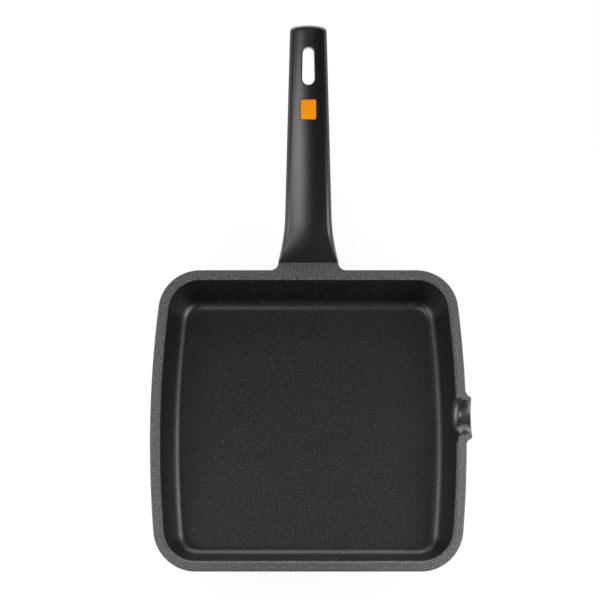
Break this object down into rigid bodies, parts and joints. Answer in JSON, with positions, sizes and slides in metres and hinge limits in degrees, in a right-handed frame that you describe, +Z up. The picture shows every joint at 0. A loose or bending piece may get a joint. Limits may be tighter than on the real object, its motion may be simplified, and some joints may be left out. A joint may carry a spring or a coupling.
{
  "type": "griddle pan",
  "caption": "Square cast pan with rounded corners, a pouring spout in one side, a steel plate let into its base and a long upswept moulded handle with a hang slot.",
  "frame": {"origin": "centre of the flat base, on the surface that the pan stands on", "axes": "+Z up out of the pan, +Y along the handle from the pan to its tip, +X to the side with the pouring spout"},
  "size_m": [0.2857, 0.4822, 0.1226],
  "materials": {
    "pan_coating": "cast aluminium with a dark speckled non-stick coating, lighter on the rim",
    "base_steel": "brushed ferritic steel",
    "handle_plastic": "black satin moulded phenolic plastic",
    "inlay_plastic": "plain orange moulded plastic",
    "screw_steel": "plain steel",
    "insert_brass": "turned brass"
  },
  "bodies": {
    "root": {"pan_body": "pan_coating", "induction_plate": "base_steel", "handle": "handle_plastic", "colour_inlay": "inlay_plastic", "handle_screw": "screw_steel", "spring_washer": "screw_steel", "flat_washer": "screw_steel", "threaded_insert": "insert_brass"}
  },
  "joints": []
}
